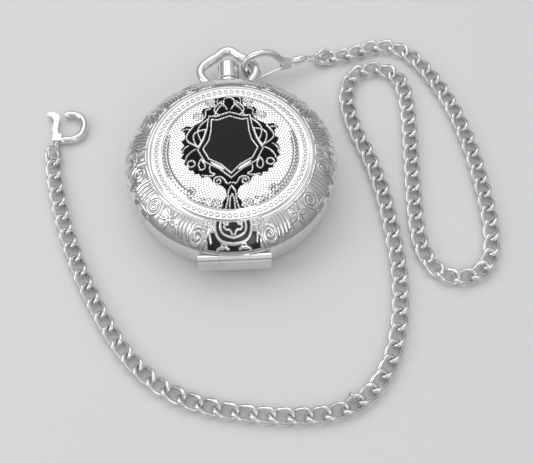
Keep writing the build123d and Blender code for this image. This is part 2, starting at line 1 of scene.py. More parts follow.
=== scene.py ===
import json
import math
import bpy
import numpy as np
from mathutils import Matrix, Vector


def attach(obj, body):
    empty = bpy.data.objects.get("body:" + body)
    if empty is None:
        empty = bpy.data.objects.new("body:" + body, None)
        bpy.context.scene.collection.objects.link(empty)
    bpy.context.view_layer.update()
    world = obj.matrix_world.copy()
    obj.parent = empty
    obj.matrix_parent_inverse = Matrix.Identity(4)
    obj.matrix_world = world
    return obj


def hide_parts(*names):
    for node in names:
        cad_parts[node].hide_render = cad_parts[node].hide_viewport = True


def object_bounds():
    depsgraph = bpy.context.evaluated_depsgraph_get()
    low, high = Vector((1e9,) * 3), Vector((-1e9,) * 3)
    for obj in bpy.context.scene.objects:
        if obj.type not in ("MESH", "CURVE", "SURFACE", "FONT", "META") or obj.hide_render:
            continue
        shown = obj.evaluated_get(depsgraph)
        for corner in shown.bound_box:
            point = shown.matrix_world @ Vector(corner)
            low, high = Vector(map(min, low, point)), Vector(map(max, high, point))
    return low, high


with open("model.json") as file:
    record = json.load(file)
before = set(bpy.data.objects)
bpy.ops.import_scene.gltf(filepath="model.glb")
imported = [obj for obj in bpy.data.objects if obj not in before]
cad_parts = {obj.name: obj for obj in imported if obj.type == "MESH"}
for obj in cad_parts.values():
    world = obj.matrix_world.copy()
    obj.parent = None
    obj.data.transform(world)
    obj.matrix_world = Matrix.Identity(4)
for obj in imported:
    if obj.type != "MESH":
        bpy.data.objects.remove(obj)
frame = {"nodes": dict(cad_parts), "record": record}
cad_low, cad_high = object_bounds()
MM = 0.001
print("frame", len(frame["nodes"]), "nodes")

# %% [markdown]
# Camera first: a long lens, about sixty degrees above the table, from the hinge side.
# %% Camera
TURN = math.radians(-2.65)
CAMERA_ON_TABLE = (7.845, -123.67)
CAMERA_HEIGHT = 194.4
CAMERA_ELEVATION = 60.25
SENSOR = 36
LENS = 67.5


def on_table(x, y):
    """The watch is turned a little on the table; this goes from table to watch axes."""
    c, s = math.cos(TURN), math.sin(TURN)
    return x * c - y * s, x * s + y * c


camera = bpy.data.objects.new("Camera", bpy.data.cameras.new("Camera"))
bpy.context.collection.objects.link(camera)
camera_xy = on_table(*CAMERA_ON_TABLE)
camera.location = (camera_xy[0] * MM, camera_xy[1] * MM, CAMERA_HEIGHT * MM)
camera.rotation_euler = (math.radians(90 - CAMERA_ELEVATION), 0, TURN)
camera.data.sensor_width = SENSOR
camera.data.lens = LENS
camera.data.clip_start = 0.01
bpy.context.scene.camera = camera
print("camera", CAMERA_HEIGHT, "mm above the table")

# %% [markdown]
# Node helpers. A material is a Principled shader with noise-driven roughness and fine wear, so plating, steel and
# brass each have their own grain. Noise on Object coordinates keeps that grain fixed to its piece when it moves.
# %% Materials
CLOUD_SCALE = 140
WORN = 0.86
GRAIN_DEPTH = 0.0001
ENAMEL_SPECULAR = 0.12


def link(tree, out, into):
    tree.links.new(out, into)


def finish_material(name, colour, metal, rough, spread=0.08, grain=900.0, bump=0.02, coat=0.0, clear=False):
    """A finish with grained roughness and cloudy tone; a clear one lets light through instead of the tone."""
    mat = bpy.data.materials.new(name)
    mat.use_nodes = True
    tree = mat.node_tree
    shader = tree.nodes["Principled BSDF"]
    shader.inputs["Base Color"].default_value = (*colour, 1)
    shader.inputs["Metallic"].default_value = metal
    shader.inputs["Coat Weight"].default_value = coat
    place = tree.nodes.new("ShaderNodeTexCoord")
    noise = tree.nodes.new("ShaderNodeTexNoise")
    noise.inputs["Scale"].default_value = grain
    noise.inputs["Detail"].default_value = 6
    link(tree, place.outputs["Object"], noise.inputs["Vector"])
    ramp = tree.nodes.new("ShaderNodeMapRange")
    ramp.inputs["To Min"].default_value = rough
    ramp.inputs["To Max"].default_value = rough + spread
    link(tree, noise.outputs["Fac"], ramp.inputs["Value"])
    link(tree, ramp.outputs["Result"], shader.inputs["Roughness"])
    cloud = tree.nodes.new("ShaderNodeTexNoise")
    cloud.inputs["Scale"].default_value = CLOUD_SCALE
    cloud.inputs["Detail"].default_value = 3
    link(tree, place.outputs["Object"], cloud.inputs["Vector"])
    tone = tree.nodes.new("ShaderNodeValToRGB")
    tone.color_ramp.elements[0].position = 0.3
    tone.color_ramp.elements[0].color = tuple(WORN * c for c in colour) + (1,)
    tone.color_ramp.elements[1].position = 0.6
    tone.color_ramp.elements[1].color = (*colour, 1)
    link(tree, cloud.outputs["Fac"], tone.inputs["Fac"])
    if not clear:
        link(tree, tone.outputs["Color"], shader.inputs["Base Color"])
    relief = tree.nodes.new("ShaderNodeBump")
    relief.inputs["Strength"].default_value = bump
    relief.inputs["Distance"].default_value = GRAIN_DEPTH
    link(tree, noise.outputs["Fac"], relief.inputs["Height"])
    link(tree, relief.outputs["Normal"], shader.inputs["Normal"])
    if clear:
        shader.inputs["Transmission Weight"].default_value = 1.0
        shader.inputs["IOR"].default_value = 1.5
    return mat


FINISH = {
    "silver": finish_material("Silver plate", (0.86, 0.86, 0.85), 1, 0.09, 0.07),
    "chain_silver": finish_material("Chain plate", (0.85, 0.85, 0.84), 1, 0.12, 0.08),
    "enamel": finish_material("Black enamel", (0.002, 0.002, 0.003), 0, 0.12, 0.05, coat=0.15),
    "steel": finish_material("Brushed steel", (0.55, 0.55, 0.55), 1, 0.3, 0.15, bump=0.1),
    "brass_gear": finish_material("Wheel brass", (0.72, 0.55, 0.27), 1, 0.25, 0.1),
    "plate": finish_material("Nickelled plate", (0.68, 0.66, 0.6), 1, 0.3, 0.12, bump=0.08),
    "dial_white": finish_material("Dial enamel", (0.86, 0.85, 0.81), 0, 0.3, 0.08, coat=0.3),
    "blued": finish_material("Blued steel", (0.02, 0.03, 0.07), 0.6, 0.2, 0.08),
    "crystal": finish_material("Crystal", (0.98, 0.98, 0.98), 0, 0.01, 0.02, bump=0.0, clear=True),
    "rubber": finish_material("Gasket rubber", (0.02, 0.02, 0.02), 0, 0.6, 0.2, bump=0.2),
    "holder": finish_material("Moulded holder", (0.75, 0.74, 0.7), 0, 0.45, 0.15, bump=0.1),
    "board": finish_material("Circuit board", (0.03, 0.16, 0.07), 0, 0.25, 0.1, coat=0.4),
    "copper": finish_material("Copper winding", (0.62, 0.25, 0.1), 0.8, 0.3, 0.15, grain=2500, bump=0.3),
}
slot_of = {part["node"]: part["material_slot"] for part in frame["record"]["subparts"]}
enamel_shader = FINISH["enamel"].node_tree.nodes["Principled BSDF"]
enamel_shader.inputs["Specular IOR Level"].default_value = ENAMEL_SPECULAR
for name, node in frame["nodes"].items():
    node.data.materials.clear()
    node.data.materials.append(FINISH[slot_of[name]])
print("finishes", len(FINISH))


# %% [markdown]
# The chain. One NURBS line is its route; Geometry Nodes strings twisted curb links along it.
# %% Chain route
ROUTE = [
    (24.0, 34.8), (30, 35.5), (37, 38.5), (43.5, 36.8), (48.5, 30), (53, 20), (56, 7), (57.4, -8),
    (57.3, -18.5), (55, -25), (49, -27.8), (43, -25), (40.7, -18), (41, -6), (42, 8), (42.8, 22),
    (41, 29), (36, 31.5), (30.5, 29.8), (28, 24), (28.6, 15), (33, 2), (35, -11), (36, -30),
    (32, -47), (22.5, -56.5), (8, -57), (-10, -53.5), (-22, -45), (-32, -27), (-38, -10), (-41, 4),
    (-41.3, 8.65),
]
LINE_Z = 1.32
route = bpy.data.curves.new("Chain route", "CURVE")
route.dimensions = "3D"
route.resolution_u = 24
spline = route.splines.new("NURBS")
spline.points.add(len(ROUTE) - 1)
for point, (x, y) in zip(spline.points, ROUTE):
    point.co = (x * MM, y * MM, LINE_Z * MM, 1)
spline.order_u = 3
spline.use_endpoint_u = True
route_obj = bpy.data.objects.new("Chain route", route)
bpy.context.collection.objects.link(route_obj)


def read_line(obj):
    """The points along a curve object, in order."""
    bpy.context.view_layer.update()
    mesh = bpy.data.meshes.new_from_object(obj.evaluated_get(bpy.context.evaluated_depsgraph_get()))
    points = [tuple(v.co) for v in mesh.vertices]
    bpy.data.meshes.remove(mesh)
    return points


line = read_line(route_obj)

# %% [markdown]
# Links and beads repeat along a line, so Geometry Nodes makes them: change one named size and every copy follows.
# These helpers build a tree that ends in Realize Instances and Set Material, because an export drops instances,
# and turn what the tree grows into a plain mesh.
# %% Geometry Nodes helpers


def node_tree(name, inputs, material):
    """An empty tree with named float or integer inputs, ending in Realize Instances and Set Material."""
    tree = bpy.data.node_groups.new(name, "GeometryNodeTree")
    tree.interface.new_socket("Geometry", in_out="INPUT", socket_type="NodeSocketGeometry")
    for label, value in inputs.items():
        kind = "NodeSocketInt" if isinstance(value, int) else "NodeSocketFloat"
        tree.interface.new_socket(label, in_out="INPUT", socket_type=kind)
    tree.interface.new_socket("Geometry", in_out="OUTPUT", socket_type="NodeSocketGeometry")
    start = tree.nodes.new("NodeGroupInput")
    end = tree.nodes.new("NodeGroupOutput")
    real = tree.nodes.new("GeometryNodeRealizeInstances")
    paint = tree.nodes.new("GeometryNodeSetMaterial")
    paint.inputs["Material"].default_value = material
    smooth = tree.nodes.new("GeometryNodeSetShadeSmooth")
    link(tree, real.outputs[0], smooth.inputs[0])
    link(tree, smooth.outputs[0], paint.inputs["Geometry"])
    link(tree, paint.outputs["Geometry"], end.inputs[0])
    return tree, start, real


def grown(name, tree, inputs):
    """Runs a tree on an empty mesh and keeps the plain mesh it makes."""
    holder = bpy.data.objects.new(name, bpy.data.meshes.new(name))
    bpy.context.collection.objects.link(holder)
    modifier = holder.modifiers.new("Grow", "NODES")
    modifier.node_group = tree
    for item in tree.interface.items_tree:
        if item.in_out == "INPUT" and item.name in inputs:
            modifier[item.identifier] = inputs[item.name]
    bpy.context.view_layer.update()
    made = bpy.data.meshes.new_from_object(holder.evaluated_get(bpy.context.evaluated_depsgraph_get()))
    holder.modifiers.clear()
    holder.data = made
    made.name = name
    return holder


def add_node(tree, node_type, settings=None, **inputs):
    """A node with its inputs set or linked, by their names, or by place as i0, i1 and so on."""
    node = tree.nodes.new(node_type)
    for key, value in (settings or {}).items():
        setattr(node, key, value)
    for key, value in inputs.items():
        numbered = key.startswith("i") and key[1:].isdigit()
        socket = node.inputs[int(key[1:])] if numbered else node.inputs[key.replace("_", " ")]
        if isinstance(value, bpy.types.NodeSocket):
            link(tree, value, socket)
        else:
            socket.default_value = value
    return node


def math_node(tree, kind, a, b=None):
    """The result of one Math node; a and b are numbers or other nodes' outputs."""
    node = tree.nodes.new("ShaderNodeMath")
    node.operation = kind
    for socket, value in zip(node.inputs, (a, b)):
        if isinstance(value, bpy.types.NodeSocket):
            link(tree, value, socket)
        elif value is not None:
            socket.default_value = value
    return node.outputs[0]


# %% [markdown]
# A curb link is an oval of wire, twisted so that it lies flat against its neighbours. A circle is stretched to
# the oval, its four corners are lifted and lowered by the twist, and a round section is swept along it. The link
# is then set along the route and turned to follow it. Fewer than a hundred links can afford a smooth, round wire.
# %% Chain links
chain_inputs = {
    "Links": 96,
    "Half length": 2.45 * MM,
    "Half width": 1.52 * MM,
    "Twist": 0.62 * MM,
    "Wire": 0.5 * MM,
}
tree, start, real = node_tree("Curb chain", chain_inputs, FINISH["chain_silver"])
info = add_node(tree, "GeometryNodeObjectInfo", {"transform_space": "ORIGINAL"})
info.inputs["Object"].default_value = route_obj
resample = add_node(tree, "GeometryNodeResampleCurve", Curve=info.outputs["Geometry"])
link(tree, start.outputs["Links"], resample.inputs["Count"])
loop = add_node(tree, "GeometryNodeCurvePrimitiveCircle", i0=36)
loop.inputs["Radius"].default_value = 1.0
at = add_node(tree, "GeometryNodeInputPosition")
split = add_node(tree, "ShaderNodeSeparateXYZ", i0=at.outputs[0])
long = math_node(tree, "MULTIPLY", split.outputs[0], start.outputs["Half length"])
wide = math_node(tree, "MULTIPLY", split.outputs[1], start.outputs["Half width"])
corner = math_node(tree, "MULTIPLY", split.outputs[0], split.outputs[1])
lift = math_node(tree, "MULTIPLY", math_node(tree, "MULTIPLY", corner, 2.0), start.outputs["Twist"])
spot = add_node(tree, "ShaderNodeCombineXYZ", i0=long, i1=wide, i2=lift)
shaped = add_node(tree, "GeometryNodeSetPosition", Geometry=loop.outputs[0], Position=spot.outputs[0])
section = add_node(tree, "GeometryNodeCurvePrimitiveCircle", i0=12)
link(tree, start.outputs["Wire"], section.inputs["Radius"])
body = add_node(tree, "GeometryNodeCurveToMesh", Curve=shaped.outputs[0])
link(tree, section.outputs[0], body.inputs["Profile Curve"])
tangent = add_node(tree, "GeometryNodeInputTangent")
along = {"axis": "X", "pivot_axis": "Z"}
turn = add_node(tree, "FunctionNodeAlignEulerToVector", along, Vector=tangent.outputs[0])
placed = add_node(tree, "GeometryNodeInstanceOnPoints", Points=resample.outputs[0], Instance=body.outputs[0])
link(tree, turn.outputs[0], placed.inputs["Rotation"])
link(tree, placed.outputs[0], real.inputs[0])
chain = grown("Curb_chain", tree, chain_inputs)
bpy.data.objects.remove(route_obj)
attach(chain, "claw")
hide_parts(*[f"chain_{n}" for n in range(1, 7)])
riders = ["watch_claw", "watch_swivel", "swivel_link", "chain_ring", "spare_ring"]
riders += ["end_ring", "end_claw", "end_gate", "end_gate_pin"]
print("chain", chain_inputs["Links"], "links,", len(chain.data.polygons), "faces")

# %% [markdown]
# The cover's chasing is real relief. Strokes are lines in the cover's plane, in millimetres, drawn for the right
# half and mirrored; a stroke raises a rounded ridge. Blackened ground lies low between them.
# %% Cover strokes
SPIRAL_STEPS = 22


def spiral(x, y, radius, turns, begin, hand=1, shrink=0.18):
    """A curl that winds in from radius."""
    points = []
    for i in range(int(SPIRAL_STEPS * turns) + 1):
        t = i / (SPIRAL_STEPS * turns)
        a = math.radians(begin) + hand * 2 * math.pi * turns * t
        r = radius * (1 - (1 - shrink) * t)
        points.append((x + r * math.cos(a), y + r * math.sin(a)))
    return points


def arc(x, y, radius, begin, end, count=24):
    """Points along an arc between two angles in degrees."""
    angles = [math.radians(begin + (end - begin) * i / count) for i in range(count + 1)]
    return [(x + radius * math.cos(a), y + radius * math.sin(a)) for a in angles]


def polar(radius, degrees):
    """The point at a radius and an angle round the middle of the cover."""
    return radius * math.cos(math.radians(degrees)), radius * math.sin(math.radians(degrees))


def bend(*corners, count=10):
    """A smooth line from the first corner to the last, through the middles between the others."""
    points = [corners[0]]
    middles = [((a[0] + b[0]) / 2, (a[1] + b[1]) / 2) for a, b in zip(corners[1:-2], corners[2:-1])]
    joins = [corners[0], *middles, corners[-1]]
    for p, q, r in zip(joins, corners[1:-1], joins[1:]):
        for i in range(1, count + 1):
            t = i / count
            points.append(tuple((1 - t) ** 2 * p[k] + 2 * t * (1 - t) * q[k] + t * t * r[k] for k in (0, 1)))
    return points


SHIELD = [
    (0, 9.1), (2.65, 8.1), (4.0, 8.3), (4.2, 5.0), (4.7, 2.6), (6.0, 0.4), (4.7, -2.3), (2.05, -3.9), (0, -6.1),
]
SHIELD_MIDDLE = 1.2


def grow(points, by):
    """The shield's outline moved outwards from its middle."""
    out = []
    for x, y in points:
        away = math.hypot(x, y - SHIELD_MIDDLE)
        out.append((x + by * x / away, y + by * (y - SHIELD_MIDDLE) / away))
    return out


CENTRE = [
    # the shield and its raised border
    (SHIELD, 0.26),
    (grow(SHIELD, 1.15), 0.24),
    # curls and leaves above the shield
    (spiral(4.2, 13.0, 1.15, 1.4, 150, -1), 0.24),
    (spiral(7.1, 9.1, 1.2, 1.5, 210, -1), 0.24),
    (bend((6.0, 8.3), (5.0, 9.6), (5.6, 11.0), (4.2, 11.4)), 0.24),
    (bend((0.5, 11.2), (1.6, 13.4), (2.9, 12.2), (3.6, 10.4), (2.2, 9.4)), 0.26),
    (bend((0, 14.6), (1.3, 14.2), (1.0, 12.6), (2.4, 11.8), (3.4, 9.2)), 0.24),
    (bend((1.8, 15.0), (2.8, 14.2), (2.6, 12.9)), 0.2),
    (spiral(1.5, 12.9, 0.6, 1.1, 0, 1), 0.18),
    # leaves beside the shield
    (bend((4.6, 8.6), (6.4, 7.2), (7.4, 5.0), (6.4, 2.6)), 0.24),
    (bend((5.2, 5.6), (7.6, 5.4), (8.4, 3.2), (7.2, 1.0)), 0.26),
    (bend((5.4, 5.2), (5.8, 2.8), (7.0, 1.2)), 0.26),
    (bend((7.3, 1.2), (9.4, 2.4), (9.8, 4.4), (8.2, 6.4)), 0.26),
    (bend((8.9, 5.8), (9.8, 6.2), (10.4, 5.6)), 0.22),
    (bend((7.6, 0.4), (9.6, -0.6), (9.8, -2.2)), 0.24),
    (bend((9.2, 1.4), (10.2, 1.0), (10.6, -0.4)), 0.2),
    (spiral(8.6, -3.3, 0.85, 1.0, 90, 1, 0.95), 0.26),
    (bend((6.4, -2.2), (7.2, -3.2), (6.6, -5.4), (5.2, -4.2), (6.2, -2.6)), 0.24),
    # curls below the shield
    (bend((4.6, -4.2), (4.8, -5.8), (3.2, -6.2), (4.4, -6.8), (6.2, -6.4)), 0.24),
    (spiral(2.9, -8.0, 1.15, 1.4, 130, -1), 0.24),
    (bend((0.2, -8.4), (1.0, -9.0), (1.6, -7.2), (2.4, -6.9)), 0.24),
    (arc(0, 0, 14.1, -50, 18), 0.32),
    (spiral(9.1, -10.2, 1.35, 1.3, -45, -1), 0.32),
    (bend((0, -9.2), (0.9, -10.4), (0.8, -12.4), (1.4, -14.6)), 0.24),
    (bend((0, -11.2), (0.55, -12.0), (0.6, -14.9)), 0.22),
    (spiral(3.3, -13.4, 1.3, 1.5, 200, 1), 0.26),
    (bend((1.4, -14.6), (2.2, -15.2), (4.4, -14.9), (6.2, -13.2), (7.6, -11.8)), 0.26),
    (bend((4.9, -12.2), (6.0, -12.6), (7.4, -11.7)), 0.22),
]
GROUND = [
    (0, 15.2), (2.9, 15.0), (3.2, 13.9), (3.0, 12.0), (5.6, 11.6), (6.2, 10.8), (5.6, 9.6),
    (6.0, 8.0), (7.4, 7.2), (8.2, 6.6), (9.6, 6.9), (10.8, 5.9), (9.9, 5.1), (9.9, 3.4),
    (10.7, 2.8), (10.1, 1.6), (10.8, 0.6), (10.2, -0.5), (10.8, -1.6), (9.9, -2.3), (10.1, -3.4),
    (9.2, -3.9), (9.1, -4.9), (8.1, -5.0), (7.9, -6.0), (6.9, -5.9), (6.4, -7.0), (5.2, -6.6),
    (4.4, -7.2), (4.0, -8.4), (1.9, -9.3), (1.3, -10.2), (1.1, -11.8), (2.0, -13.0), (2.4, -14.8),
    (0, -15.1),
]
RIM = [
    (bend((-3.6, -16.2), (0, -15.6), (3.6, -16.2)), 0.3),
    (bend((3.5, -16.2), (4.1, -18.4), (3.4, -20.8), (1.8, -21.7), (0, -21.8)), 0.32),
    (bend((2.5, -17.2), (2.9, -19.0), (2.0, -20.4), (0, -20.8)), 0.26),
    (spiral(1.35, -17.9, 0.75, 1.2, 160, -1), 0.24),
    (bend((0.3, -20.2), (0.6, -19.2), (1.7, -19.4), (1.9, -18.6)), 0.24),
    (bend((4.4, -16.9), (5.4, -19.0), (4.9, -21.4)), 0.26),
    (spiral(7.7, -19.9, 1.75, 1.8, 120, -1), 0.3),
    (bend((6.2, -19.2), (5.7, -21.0), (7.2, -22.2)), 0.28),
    (bend((1.2, -22.6), (2.4, -21.9), (3.6, -22.6)), 0.26),
    (spiral(2.3, -22.2, 0.7, 1.0, 200, -1), 0.22),
    (spiral(4.9, -17.6, 1.0, 1.4, 190, 1), 0.22),
    (bend((4.6, -18.6), (5.6, -20.4), (7.0, -21.4)), 0.2),
    (bend((3.9, -16.4), (5.0, -16.2), (6.2, -17.4)), 0.2),
]


MOTIF_R = 20.6
MOTIF_STEP = 12.4
FIRST_MOTIF = -61
PETALS = 5
FLUTES = 5


def border_spiral(at):
    """A spiral with an arc on each side of it."""
    curl = spiral(*polar(MOTIF_R, at), 1.8, 2.0, at + 90, -1)
    return [(curl, 0.24), (arc(0, 0, 22.4, at - 1, at + 8), 0.2), (arc(0, 0, 18.6, at - 8, at - 1), 0.2)]


def border_flower(at):
    """Five petals, each drawn by its two sides."""
    cx, cy = polar(MOTIF_R, at)
    strokes = []
    for i in range(PETALS):
        a = math.radians(at + 72 * i)
        heart = (cx + 0.3 * math.cos(a), cy + 0.3 * math.sin(a))
        tip = (cx + 1.9 * math.cos(a), cy + 1.9 * math.sin(a))
        for side in (-0.42, 0.42):
            belly = (cx + 1.2 * math.cos(a + side), cy + 1.2 * math.sin(a + side))
            strokes.append((bend(heart, belly, tip), 0.2))
    return strokes


def border_leaf(at):
    """A leaf of five flutes, longest in the middle."""
    strokes = []
    for i in range(FLUTES):
        a = at - 5 + 2.4 * i
        near, far = 18.4 + 0.25 * abs(i - 2), 22.6 - 0.3 * abs(i - 2)
        flute = bend(polar(near, a), polar((near + far) / 2, a + 1.6), polar(far, a - 0.4))
        strokes.append((flute, 0.2))
    return strokes


def border_divider(turn):
    """A short inner arc and a bent bar before the motif at this turn."""
    bar = bend(polar(18.6, -67.2 + turn), polar(20.4, -66.2 + turn), polar(22.6, -68.4 + turn))
    return [(arc(0, 0, 18.7, -66 + turn, -58 + turn), 0.16), (bar, 0.16)]


MOTIFS = {"spiral": border_spiral, "flower": border_flower, "leaf": border_leaf}
KINDS = ["leaf", "flower", "spiral", "leaf", "spiral", "flower"]
KINDS += ["leaf", "spiral", "flower", "leaf", "spiral", "leaf"]
for index, kind in enumerate(KINDS):
    RIM += MOTIFS[kind](FIRST_MOTIF + MOTIF_STEP * index)
    if index:
        RIM += border_divider(MOTIF_STEP * index)
print("strokes", len(CENTRE) + len(RIM))

# %% [markdown]
# On a real cover of this kind the pattern is struck or chased into the metal. Here a fine sheet is laid over the
# plain cover and each of its points is lifted by the nearest stroke. A height picture could do the same, but a
# stroke is easy to change by itself. A value called black is kept at every point for the finish to read.
# %% Cover surface
STROKE_REACH = 1.6
STROKE_TOP = 1.25
BORDER_INNER = (17.75, 13.1)
BORDER_MIDDLE = (21.2, 11.35)
BORDER_OUTER = (23.5, 8.96)
BORDER_END = (23.49, 8.99)


def arc_through(p, q, r):
    """Middle and radius of the circle through three points of a turned section."""
    (ax, ay), (bx, by), (cx, cy) = p, q, r
    d = 2 * (ax * (by - cy) + bx * (cy - ay) + cx * (ay - by))
    sa, sb, sc = ax * ax + ay * ay, bx * bx + by * by, cx * cx + cy * cy
    ux = (sa * (by - cy) + sb * (cy - ay) + sc * (ay - by)) / d
    uy = (sa * (cx - bx) + sb * (ax - cx) + sc * (bx - ax)) / d
    return ux, uy, math.hypot(ax - ux, ay - uy)


BORDER = arc_through(BORDER_INNER, BORDER_MIDDLE, BORDER_OUTER)


def near_stroke(px, py, strokes):
    """How high the nearest ridge stands at each point, 0 to 1."""
    best = np.zeros_like(px)
    for points, width in strokes:
        pts = np.array(points)
        lo, hi = pts.min(0) - width * STROKE_REACH, pts.max(0) + width * STROKE_REACH
        pick = np.nonzero((px > lo[0]) & (px < hi[0]) & (py > lo[1]) & (py < hi[1]))[0]
        if len(pick) == 0:
            continue
        x, y = px[pick], py[pick]
        gap = np.full(len(pick), 1e9)
        for (ax, ay), (bx, by) in zip(pts, pts[1:]):
            dx, dy = bx - ax, by - ay
            t = np.clip(((x - ax) * dx + (y - ay) * dy) / (dx * dx + dy * dy + 1e-12), 0, 1)
            gap = np.minimum(gap, np.hypot(x - ax - t * dx, y - ay - t * dy))
        ridge = np.clip(STROKE_TOP - gap / width, 0, 1)
        best[pick] = np.maximum(best[pick], ridge * ridge * (3 - 2 * ridge))
    return best


def inside(px, py, outline):
    """True inside a closed outline."""
    hit = np.zeros(len(px), bool)
    for (ax, ay), (bx, by) in zip(outline, outline[1:] + outline[:1]):
        if ay == by:
            continue
        hit ^= ((ay > py) != (by > py)) & (px < (bx - ax) * (py - ay) / (by - ay) + ax)
    return hit


def with_mirror_line(half):
    """A half outline closed a little past the line it is mirrored on."""
    return half + [(-1, half[-1][1]), (-1, half[0][1])]


def make_sheet(name, points, faces, black):
    """A mesh from points in millimetres, with how black each point is."""
    mesh = bpy.data.meshes.new(name)
    mesh.from_pydata((np.asarray(points) * MM).tolist(), [], faces)
    mesh.polygons.foreach_set("use_smooth", [True] * len(mesh.polygons))
    shade = mesh.attributes.new("black", "FLOAT", "POINT")
    shade.data.foreach_set("value", np.asarray(black, np.float32))
    mesh.update()
    obj = bpy.data.objects.new(name, mesh)
    bpy.context.collection.objects.link(obj)
    return obj

# %% [markdown]
# The middle of the cover: a black shield lies low among curls that stand on black ground. A square grid is pulled
# out to a disc, so its cells stay nearly even, where rings would crowd at the middle. A wall and a shallow cone
# close it underneath.
# %% Cover centre
CELLS = 290
CENTRE_R = 14.85
EDGE_WIDTH = 0.25
CENTRE_TOP = 14.0
CENTRE_FALL = 0.55
FALL_R = 14.9
UNDERSIDE_RIM = 13.2
UNDERSIDE_MIDDLE = 13.6
CENTRE_LIFT = 0.12
GROUND_DROP = 0.1
STROKE_RISE = 0.2
SHIELD_DROP = 0.3
# Painted shade: dark lines inside the ring ridge and inside the lower curl, where a groove's shade would fall;
# the mesh cuts no groove there.
GROOVE_SHADE_LINES = [(arc(0, 0, 13.65, -50, 12), 0.2), (spiral(9.1, -10.2, 0.85, 1.0, -45, -1), 0.2)]


def relief_centre(x, y):
    """Height above the plain cover, and how black, over the middle; the black includes painted shade along the
    groove lines.
    """
    ax = np.abs(x)
    ground = inside(ax, y, with_mirror_line(GROUND))
    shield = inside(ax, y, with_mirror_line(SHIELD))
    stroke = near_stroke(ax, y, CENTRE)
    groove_shade = near_stroke(ax, y, GROOVE_SHADE_LINES)
    field = shield & (stroke < 0.2)
    low = ground & (stroke < 0.3)
    height = CENTRE_LIFT - GROUND_DROP * low + STROKE_RISE * stroke - SHIELD_DROP * field
    # Black is the blackened ground, and painted groove shade at 0.8.
    black = np.clip(np.maximum(1.0 * ground, 0.8 * groove_shade) - 2.2 * np.clip(stroke - 0.2, 0, 1), 0, 1)
    return height, np.where(field, 1.0, black)


u, v = np.meshgrid(np.linspace(-1, 1, CELLS + 1), np.linspace(-1, 1, CELLS + 1))
reach = np.maximum(np.abs(u), np.abs(v)) / np.maximum(np.hypot(u, v), 1e-9)
gx, gy = (CENTRE_R * u * reach).ravel(), (CENTRE_R * v * reach).ravel()
height, black = relief_centre(gx, gy)
edge_fade = np.clip((CENTRE_R - np.hypot(gx, gy)) / EDGE_WIDTH, 0, 1)
plain = CENTRE_TOP - CENTRE_FALL * (np.hypot(gx, gy) / FALL_R) ** 2
points = np.stack([gx, gy, plain + height * edge_fade], 1).tolist()
side = CELLS + 1
faces = [
    (j * side + i, j * side + i + 1, (j + 1) * side + i + 1, (j + 1) * side + i)
    for j in range(CELLS)
    for i in range(CELLS)
]
rim_loop = list(range(CELLS)) + [j * side + CELLS for j in range(CELLS)]
rim_loop += [CELLS * side + i for i in range(CELLS, 0, -1)] + [j * side for j in range(CELLS, 0, -1)]
base = len(points)
points += [(points[k][0], points[k][1], UNDERSIDE_RIM) for k in rim_loop] + [(0, 0, UNDERSIDE_MIDDLE)]
middle = len(points) - 1
for n in range(len(rim_loop)):
    m = (n + 1) % len(rim_loop)
    faces.append((rim_loop[m], rim_loop[n], base + n, base + m))
    faces.append((base + m, base + n, middle))
black = np.concatenate([black, np.zeros(len(points) - len(black))])
centre = make_sheet("Cover_centre", points, faces, black)
print("centre", len(faces), "faces")

# %% [markdown]
# The border falls away to the case in a curve, so its sheet is turned: one arc, swept round the cover. Lifting
# each point straight out from that arc keeps the ridges upright on the slope. A second, lower sheet closes it.
# %% Cover border
ROUND, ACROSS, UNDER = 820, 84, 8
BORDER_DEPTH = 0.3
BORDER_FADE = 0.02
BORDER_PROUD = 0.02
EDGE_SHADOW = 1.9
SCALLOPS = 44
MEDAL = [(-1, -16), (3.5, -16.2), (3.9, -18.4), (3.2, -20.8), (0, -21.7), (-1, -21.7)]


def relief_border(x, y, r):
    """Height above the plain cover, and how black, over the border; the black includes painted shadow round the
    feet of the ridges.
    """
    ax = np.abs(x)
    stroke = near_stroke(ax, y, RIM)
    # Painted shadow: a dark band round every ridge, EDGE_SHADOW times its width, where shade would fall at its
    # foot.
    ridge_shadow = np.clip(near_stroke(ax, y, [(p, w * EDGE_SHADOW) for p, w in RIM]) - stroke * 1.3, 0, 1)
    medal = inside(ax, y, MEDAL)
    scallop = 0.1 * np.cos(np.arctan2(y, x) * SCALLOPS) * np.clip((r - 22.4) / 0.8, 0, 1)
    height = 0.07 + 0.13 * stroke + scallop * (y > -14) - 0.04 * medal
    low = (y < -19.6) & (ax < 5.6) & (r < 23)
    # Black is the painted ridge shadow, or the blackened medal and ground at the bottom.
    black = np.maximum(0.75 * ridge_shadow, 0.95 * ((medal | low) & (stroke < 0.3)))
    return height, np.clip(black, 0, 1)


bx, by, br = BORDER
start_a = math.atan2(BORDER_INNER[1] - by, BORDER_INNER[0] - bx)
end_a = math.atan2(BORDER_END[1] - by, BORDER_END[0] - bx)


def border_grid(count, lift=None):
    """Points over the border, and how black each is. With no lift given, the relief lifts them."""
    t = np.linspace(start_a, end_a, count)
    turn = np.arange(ROUND) * 2 * math.pi / ROUND
    tt, aa = np.meshgrid(t, turn, indexing="ij")
    flat_r = bx + br * np.cos(tt)
    x, y = (flat_r * np.cos(aa)).ravel(), (flat_r * np.sin(aa)).ravel()
    black = None
    if lift is None:
        height, black = relief_border(x, y, np.hypot(x, y))
        fade = np.clip(np.minimum(tt - end_a, start_a - tt) / BORDER_FADE, 0, 1).ravel()
        lift = BORDER_PROUD + (height - BORDER_PROUD) * fade
    out = br + lift
    lifted_r = bx + out * np.cos(tt.ravel())
    height = by + out * np.sin(tt.ravel())
    return np.stack([lifted_r * np.cos(aa.ravel()), lifted_r * np.sin(aa.ravel()), height], 1), black


